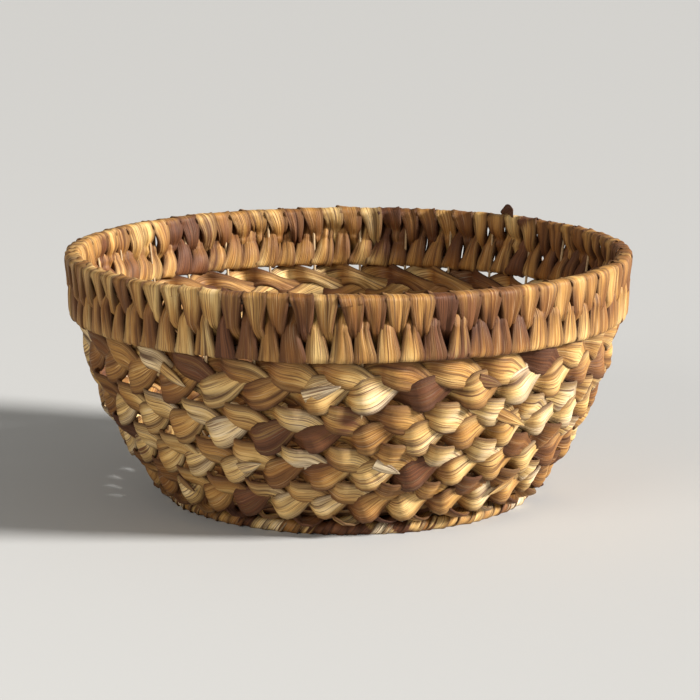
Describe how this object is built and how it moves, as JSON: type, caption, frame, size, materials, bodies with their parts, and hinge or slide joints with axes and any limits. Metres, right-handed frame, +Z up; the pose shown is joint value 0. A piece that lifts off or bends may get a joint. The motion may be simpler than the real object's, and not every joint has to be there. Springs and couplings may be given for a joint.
{
  "type": "round storage basket",
  "caption": "Round, tapered basket plaited from flat water hyacinth strips, with a laced rim band and a wrapped foot ring.",
  "frame": {"origin": "middle of the footprint, on the ground", "axes": "+Z up, along the basket's axis; +X and +Y across the mouth"},
  "size_m": [0.36, 0.36, 0.158],
  "materials": {
    "rim_strips": "dry natural fibre, satin",
    "plait_strands": "dry natural fibre, satin",
    "foot_strips": "dry natural fibre, satin",
    "stakes": "peeled cane, matte",
    "ring_wire": "brown painted wire, satin"
  },
  "bodies": {
    "root": {"rim_lacing": "rim_strips", "wall_plait_1": "plait_strands", "wall_plait_2": "plait_strands", "wall_plait_3": "plait_strands", "wall_plait_4": "plait_strands", "foot_plait": "plait_strands", "floor_plait_1": "plait_strands", "floor_plait_2": "plait_strands", "floor_plait_3": "plait_strands", "floor_centre_pad": "plait_strands", "foot_ring_wrap": "foot_strips", "rim_top_ring": "ring_wire", "rim_bottom_ring": "ring_wire", "foot_ring_core": "ring_wire", "floor_centre_ring": "ring_wire", "stake_01": "stakes", "stake_02": "stakes", "stake_03": "stakes", "stake_04": "stakes", "stake_05": "stakes", "stake_06": "stakes", "stake_07": "stakes", "stake_08": "stakes", "stake_09": "stakes", "stake_10": "stakes", "stake_11": "stakes", "stake_12": "stakes", "stake_13": "stakes", "stake_14": "stakes", "stake_15": "stakes", "stake_16": "stakes", "stake_17": "stakes", "stake_18": "stakes", "stake_19": "stakes", "stake_20": "stakes", "stake_21": "stakes", "stake_22": "stakes", "stake_23": "stakes", "stake_24": "stakes", "stake_25": "stakes", "stake_26": "stakes", "stake_27": "stakes", "stake_28": "stakes", "stake_29": "stakes", "stake_30": "stakes", "stake_31": "stakes", "stake_32": "stakes", "stake_33": "stakes"}
  },
  "joints": []
}
